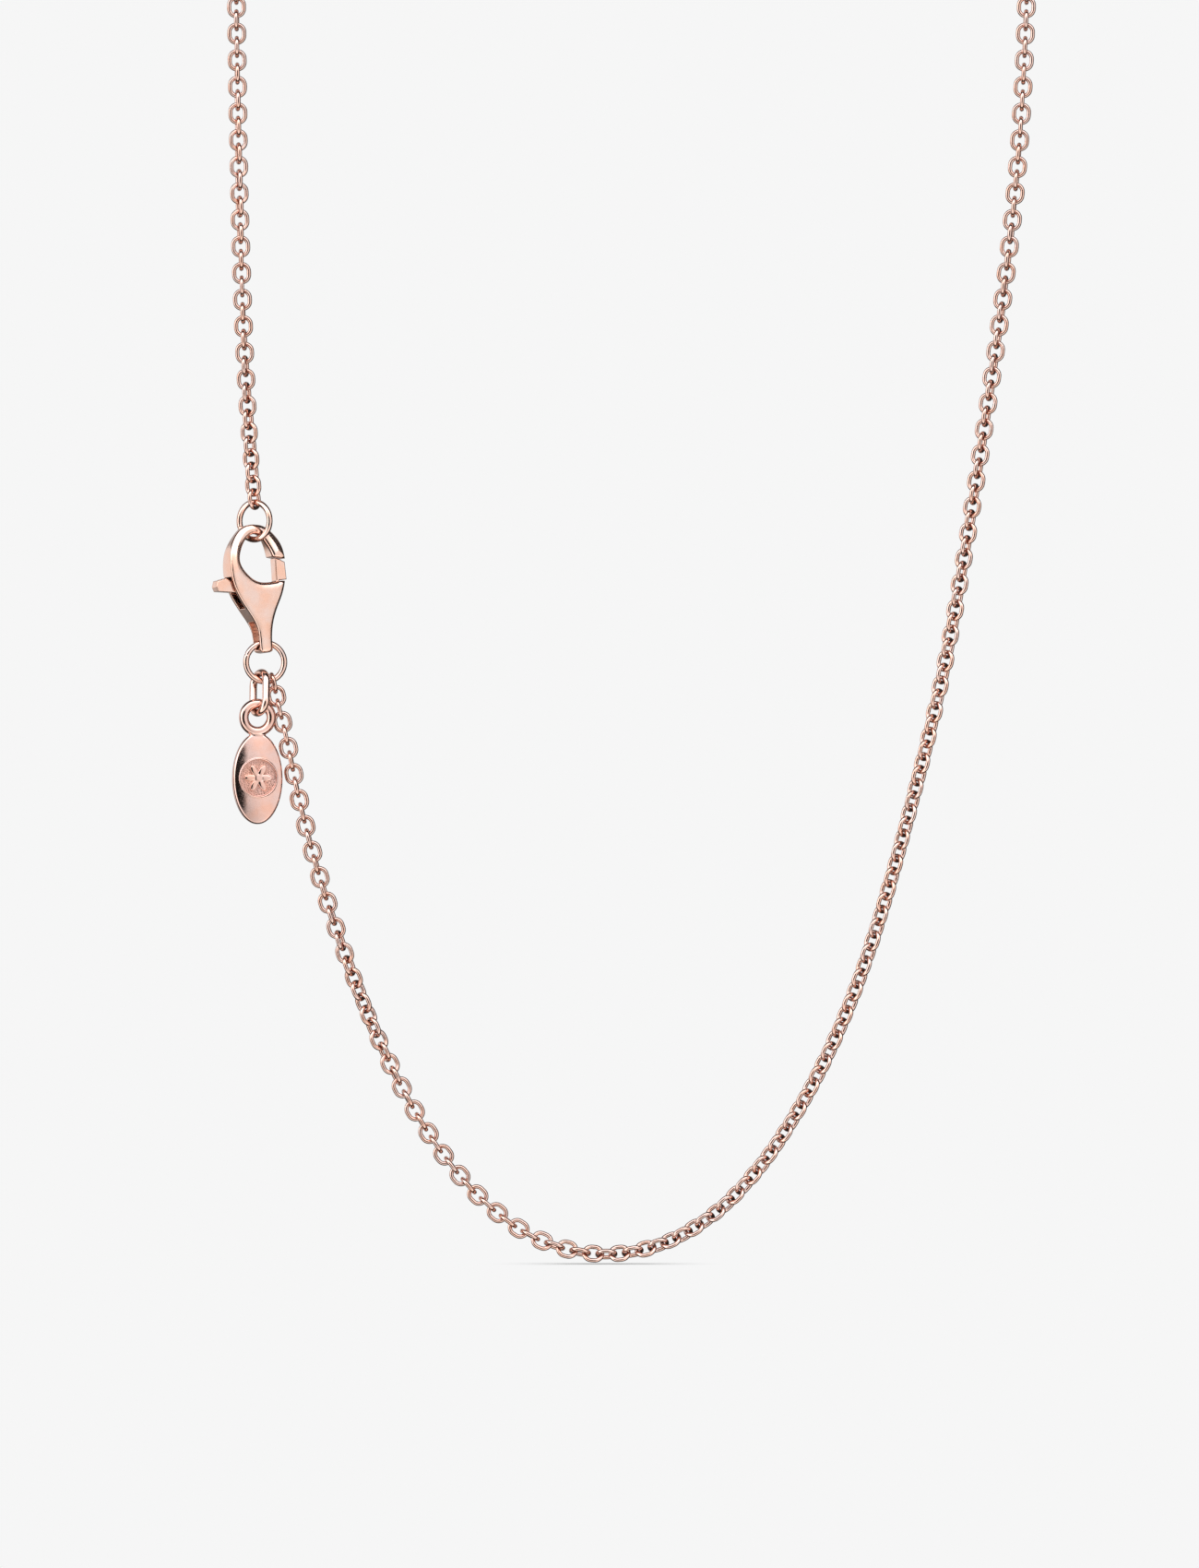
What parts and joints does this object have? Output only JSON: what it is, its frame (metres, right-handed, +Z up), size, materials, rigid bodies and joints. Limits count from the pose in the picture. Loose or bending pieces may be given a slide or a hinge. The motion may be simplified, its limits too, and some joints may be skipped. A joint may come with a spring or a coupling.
{
  "type": "chain necklace",
  "caption": "Fine rose-gold cable chain necklace, fastened by a lobster clasp, with an oval tag hanging beside the clasp.",
  "frame": {"origin": "the centre of the topmost link, where the closed loop hangs", "axes": "+Z up, -Y towards the viewer of the front face, +X to the viewer's right"},
  "size_m": [0.0661, 0.004, 0.199],
  "materials": {
    "chain": "polished rose-gold alloy",
    "clasp": "polished rose-gold alloy",
    "tag": "polished rose-gold alloy",
    "rivet": "polished rose-gold alloy",
    "spring_wire": "bright spring steel wire"
  },
  "bodies": {
    "top_arch": {"chain_top_a": "chain", "chain_top_b": "chain", "chain_top_c": "chain", "chain_top_d": "chain", "chain_top_e": "chain", "chain_top_f": "chain", "chain_top_g": "chain", "chain_top_h": "chain", "chain_top_i": "chain", "chain_top_j": "chain", "chain_top_k": "chain", "chain_top_l": "chain"},
    "left_strand_1": {"chain_left_1_a": "chain", "chain_left_1_b": "chain"},
    "left_strand_2": {"chain_left_2_a": "chain", "chain_left_2_b": "chain"},
    "left_strand_3": {"chain_left_3_a": "chain", "chain_left_3_b": "chain"},
    "left_strand_4": {"chain_left_4_a": "chain", "chain_left_4_b": "chain"},
    "left_strand_5": {"chain_left_5_a": "chain", "chain_left_5_b": "chain"},
    "end_ring": {"end_ring": "clasp"},
    "right_strand_1": {"chain_right_1_a": "chain", "chain_right_1_b": "chain"},
    "right_strand_2": {"chain_right_2_a": "chain", "chain_right_2_b": "chain"},
    "right_strand_3": {"chain_right_3_a": "chain", "chain_right_3_b": "chain"},
    "right_strand_4": {"chain_right_4_a": "chain", "chain_right_4_b": "chain"},
    "right_strand_5": {"chain_right_5_a": "chain", "chain_right_5_b": "chain"},
    "right_strand_6": {"chain_right_6_a": "chain"},
    "right_strand_7": {"chain_right_7_a": "chain", "chain_right_7_b": "chain"},
    "right_strand_8": {"chain_right_8_a": "chain", "chain_right_8_b": "chain"},
    "bottom_curve": {"chain_bottom_a": "chain", "chain_bottom_b": "chain", "chain_bottom_c": "chain", "chain_bottom_d": "chain", "chain_bottom_e": "chain"},
    "return_strand_8": {"chain_return_8_a": "chain", "chain_return_8_b": "chain"},
    "return_strand_7": {"chain_return_7_a": "chain", "chain_return_7_b": "chain"},
    "clasp_ring": {"clasp_ring": "clasp"},
    "clasp": {"clasp_body": "clasp", "lever_pin": "rivet", "lever_spring": "spring_wire"},
    "lever": {"clasp_lever": "clasp"},
    "tag_link": {"tag_link": "tag"},
    "tag": {"tag": "tag"}
  },
  "joints": [
    {"name": "fold_1", "type": "hinge", "parent": "top_arch", "child": "right_strand_1", "pos_m": [0.03194, 0, -0.03769], "axis": [1, 0, 0], "range_deg": [-60, 60]},
    {"name": "fold_1_left", "type": "hinge", "parent": "top_arch", "child": "left_strand_1", "pos_m": [-0.03189, 0, -0.03769], "axis": [1, 0, 0], "range_deg": [-60, 60]},
    {"name": "fold_2", "type": "hinge", "parent": "right_strand_1", "child": "right_strand_2", "pos_m": [0.03164, 0, -0.0586], "axis": [-1, 0, 0], "range_deg": [-60, 60]},
    {"name": "fold_2_left", "type": "hinge", "parent": "left_strand_1", "child": "left_strand_2", "pos_m": [-0.03169, 0, -0.0586], "axis": [-1, 0, 0], "range_deg": [-60, 60]},
    {"name": "fold_3", "type": "hinge", "parent": "right_strand_2", "child": "right_strand_3", "pos_m": [0.03119, 0, -0.07951], "axis": [1, 0, 0], "range_deg": [-60, 60]},
    {"name": "fold_3_left", "type": "hinge", "parent": "left_strand_2", "child": "left_strand_3", "pos_m": [-0.03165, 0, -0.07951], "axis": [1, 0, 0], "range_deg": [-60, 60]},
    {"name": "fold_4", "type": "hinge", "parent": "right_strand_3", "child": "right_strand_4", "pos_m": [0.03056, 0, -0.10042], "axis": [-1, 0, 0], "range_deg": [-60, 60]},
    {"name": "fold_4_left", "type": "hinge", "parent": "left_strand_3", "child": "left_strand_4", "pos_m": [-0.03148, 0, -0.10042], "axis": [-1, 0, 0], "range_deg": [-60, 60]},
    {"name": "fold_5", "type": "hinge", "parent": "right_strand_4", "child": "right_strand_5", "pos_m": [0.02892, 0, -0.12133], "axis": [1, 0, 0], "range_deg": [-60, 60]},
    {"name": "fold_5_left", "type": "hinge", "parent": "left_strand_4", "child": "left_strand_5", "pos_m": [-0.03107, 0, -0.12133], "axis": [1, 0, 0], "range_deg": [-60, 60]},
    {"name": "fold_6", "type": "hinge", "parent": "right_strand_5", "child": "right_strand_6", "pos_m": [0.02591, 0, -0.14155], "axis": [-1, 0, 0], "range_deg": [-28, 28]},
    {"name": "fold_7", "type": "hinge", "parent": "right_strand_6", "child": "right_strand_7", "pos_m": [0.02391, 0, -0.15257], "axis": [1, 0, 0], "range_deg": [-3, 40]},
    {"name": "fold_7_left", "type": "hinge", "parent": "return_strand_7", "child": "clasp_ring", "pos_m": [-0.02864, 0, -0.15257], "axis": [1, 0, 0], "range_deg": [-40, 3]},
    {"name": "fold_8", "type": "hinge", "parent": "right_strand_7", "child": "right_strand_8", "pos_m": [0.02013, 0, -0.16757], "axis": [-1, 0, 0], "range_deg": [-45, 45]},
    {"name": "fold_8_left", "type": "hinge", "parent": "return_strand_8", "child": "return_strand_7", "pos_m": [-0.02508, 0, -0.16757], "axis": [-1, 0, 0], "range_deg": [-45, 45]},
    {"name": "fold_9", "type": "hinge", "parent": "right_strand_8", "child": "bottom_curve", "pos_m": [0.01528, 0, -0.18132], "axis": [1, 0, 0], "range_deg": [-40, 40]},
    {"name": "fold_9_left", "type": "hinge", "parent": "bottom_curve", "child": "return_strand_8", "pos_m": [-0.02008, 0, -0.18132], "axis": [1, 0, 0], "range_deg": [-40, 40]},
    {"name": "end_ring_turn", "type": "hinge", "parent": "left_strand_5", "child": "end_ring", "pos_m": [-0.03006, 0, -0.13862], "axis": [0, 0, 1], "range_deg": [-25, 14]},
    {"name": "clasp_turn", "type": "hinge", "parent": "clasp_ring", "child": "clasp", "pos_m": [-0.02937, -0.0001, -0.14969], "axis": [-0.0843, 0.0127, 0.9964], "range_deg": [-14, 12]},
    {"name": "lever_pivot", "type": "hinge", "parent": "clasp", "child": "lever", "pos_m": [-0.02903, 0.0003, -0.14595], "axis": [0.4689, -0.8818, 0.0509], "range_deg": [0, 22], "stiffness_Nm_per_rad": 0.0002, "springref_deg": -17.19, "deforming": ["lever_spring"]},
    {"name": "tag_link_swing", "type": "hinge", "parent": "clasp_ring", "child": "tag_link", "pos_m": [-0.02964, -0.00018, -0.15264], "axis": [0.9449, 0.1666, -0.2816], "range_deg": [-55, 4]},
    {"name": "tag_swing", "type": "hinge", "parent": "tag_link", "child": "tag", "pos_m": [-0.02979, -0.00089, -0.15518], "axis": [0.5736, -0.8192, 0], "range_deg": [-30, 2]}
  ],
  "couplings": [
    {"joint": "fold_1_left", "follows": "fold_1", "ratio": 1},
    {"joint": "fold_2_left", "follows": "fold_2", "ratio": 1},
    {"joint": "fold_3_left", "follows": "fold_3", "ratio": 1},
    {"joint": "fold_4_left", "follows": "fold_4", "ratio": 1},
    {"joint": "fold_5_left", "follows": "fold_5", "ratio": 1},
    {"joint": "fold_7_left", "follows": "fold_7", "ratio": -1},
    {"joint": "fold_8_left", "follows": "fold_8", "ratio": -1},
    {"joint": "fold_9_left", "follows": "fold_9", "ratio": -1}
  ]
}
